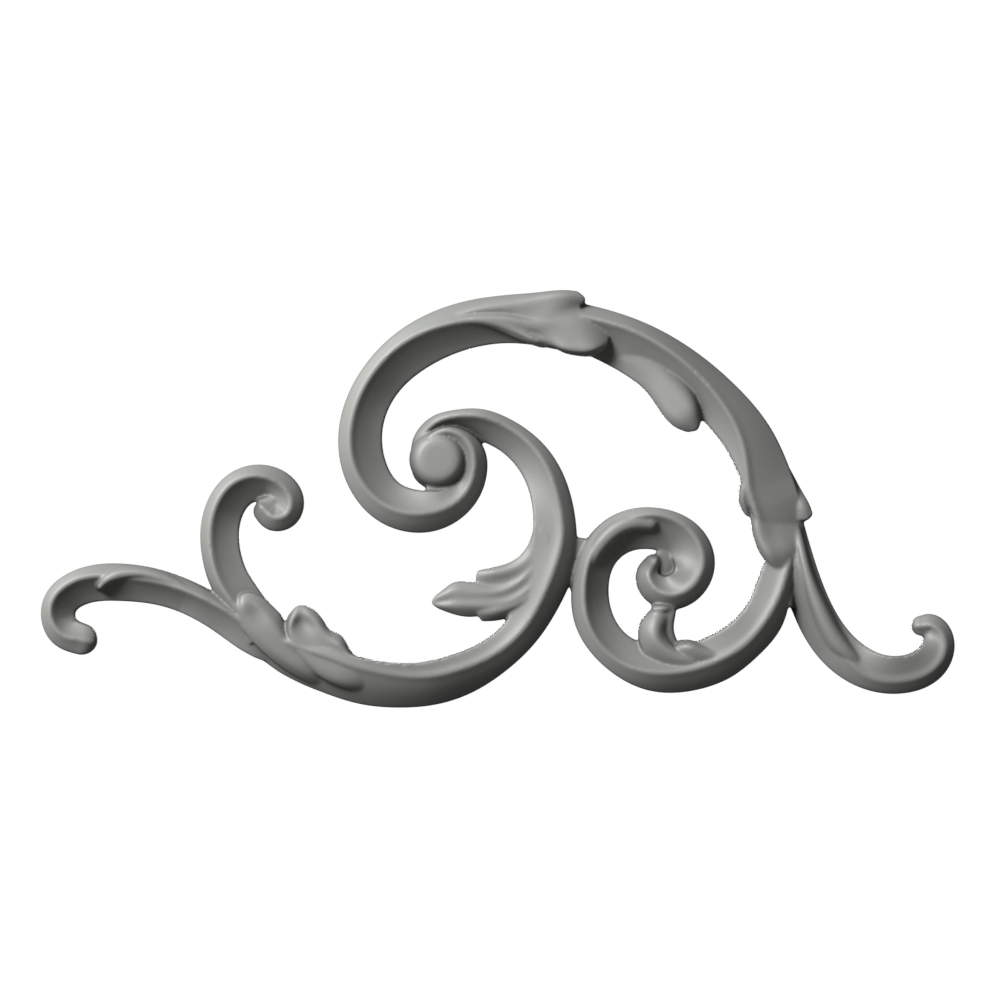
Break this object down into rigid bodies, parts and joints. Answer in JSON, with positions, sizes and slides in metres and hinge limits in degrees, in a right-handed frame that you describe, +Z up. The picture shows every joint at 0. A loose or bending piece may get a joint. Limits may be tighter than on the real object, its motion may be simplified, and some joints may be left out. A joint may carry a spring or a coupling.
{
  "type": "polyurethane applique",
  "caption": "Carved scroll and leaf onlay with a flat back, glued or pinned to a wall, door, mantel or furniture front as a decoration",
  "frame": {"origin": "on the flat back, in the wall's plane, where the two big scrolls meet", "axes": "+X to the right along the length, +Y into the wall, +Z up; the carved front faces -Y"},
  "size_m": [0.3998, 0.0159, 0.1827],
  "materials": {
    "primer": "smooth satin grey primer on moulded polyurethane foam"
  },
  "bodies": {
    "root": {"applique": "primer"}
  },
  "joints": []
}
